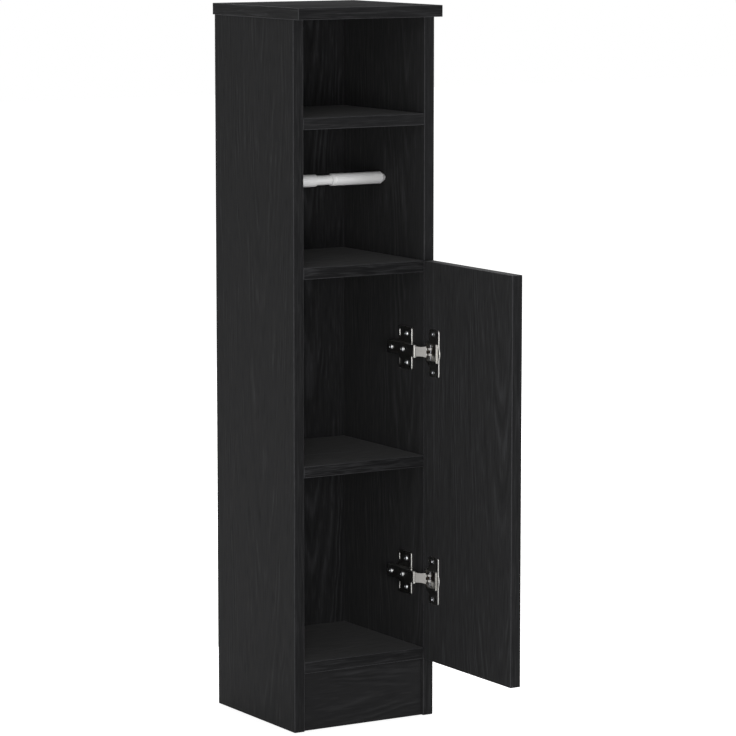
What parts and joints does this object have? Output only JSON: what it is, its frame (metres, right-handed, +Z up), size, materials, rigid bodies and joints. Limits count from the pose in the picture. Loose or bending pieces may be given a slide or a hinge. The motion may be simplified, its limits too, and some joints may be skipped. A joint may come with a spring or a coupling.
{
  "type": "toilet roll storage cabinet",
  "caption": "Slim floor-standing bathroom cabinet: open top niche, roll niche with a sprung spindle, and a tall door on concealed hinges over a shelved compartment.",
  "frame": {"origin": "on the floor, in the middle of the plinth's foot, which is midway between the side panels and 11.5 mm behind their front edges", "axes": "+Z up, the front faces -Y, +X towards the hinge side of the door"},
  "size_m": [0.214, 0.415, 0.93],
  "materials": {
    "black_oak_panel": "black oak melamine on chipboard, fine woodgrain, satin",
    "black_oak_hardboard": "black oak foil on hardboard",
    "nickel_plated_steel": "bright nickel plate",
    "satin_nickel_steel": "satin nickel plate on pressed steel",
    "zinc_screw": "bright zinc plate",
    "spring_steel": "drawn spring wire",
    "zinc_casting": "die-cast zinc, dull",
    "white_plastic": "moulded polystyrene, satin",
    "beech_dowel": "bare fluted beech"
  },
  "bodies": {
    "cabinet": {"left_side_panel": "black_oak_panel", "right_side_panel": "black_oak_panel", "top_panel": "black_oak_panel", "upper_shelf": "black_oak_panel", "middle_shelf": "black_oak_panel", "inner_shelf": "black_oak_panel", "floor_panel": "black_oak_panel", "plinth": "black_oak_panel", "back_panel": "black_oak_hardboard", "upper_hinge_arm": "nickel_plated_steel", "upper_hinge_plate": "nickel_plated_steel", "lower_hinge_arm": "nickel_plated_steel", "lower_hinge_plate": "nickel_plated_steel", "hinge_arm_screws": "zinc_screw", "hinge_plate_screws": "zinc_screw", "hinge_arm_pins": "nickel_plated_steel", "cam_locks": "zinc_casting", "cam_bolts": "zinc_casting", "dowels": "beech_dowel", "back_panel_nails": "zinc_screw"},
    "door": {"door_panel": "black_oak_panel", "upper_hinge_cup": "nickel_plated_steel", "lower_hinge_cup": "nickel_plated_steel", "hinge_cup_screws": "zinc_screw", "hinge_cup_pins": "nickel_plated_steel"},
    "upper_link": {"upper_hinge_link": "satin_nickel_steel"},
    "lower_link": {"lower_hinge_link": "satin_nickel_steel"},
    "spindle": {"spindle_sleeve": "white_plastic", "spindle_spring": "spring_steel"},
    "plunger": {"spindle_plunger": "white_plastic"}
  },
  "joints": [
    {"name": "door_swing", "type": "hinge", "parent": "cabinet", "child": "door", "pos_m": [0.0966, -0.0224, 0.339], "axis": [0, 0, 1], "range_deg": [-90, 5]},
    {"name": "upper_link_turn", "type": "hinge", "parent": "cabinet", "child": "upper_link", "pos_m": [0.078, -0.0075, 0.483], "axis": [0, 0, 1], "range_deg": [-1, 15]},
    {"name": "lower_link_turn", "type": "hinge", "parent": "cabinet", "child": "lower_link", "pos_m": [0.078, -0.0075, 0.185], "axis": [0, 0, 1], "range_deg": [-1, 15]},
    {"name": "spindle_turn", "type": "hinge", "parent": "cabinet", "child": "spindle", "pos_m": [0, 0.0875, 0.702], "axis": [1, 0, 0], "continuous": true},
    {"name": "plunger_push", "type": "slide", "parent": "spindle", "child": "plunger", "axis": [1, 0, 0], "range_m": [0, 0.008], "stiffness_N_per_m": 400, "springref_m": -0.012, "deforming": ["spindle_spring"]}
  ],
  "couplings": [
    {"joint": "upper_link_turn", "follows": "door_swing", "ratio": -0.16},
    {"joint": "lower_link_turn", "follows": "door_swing", "ratio": -0.16}
  ]
}
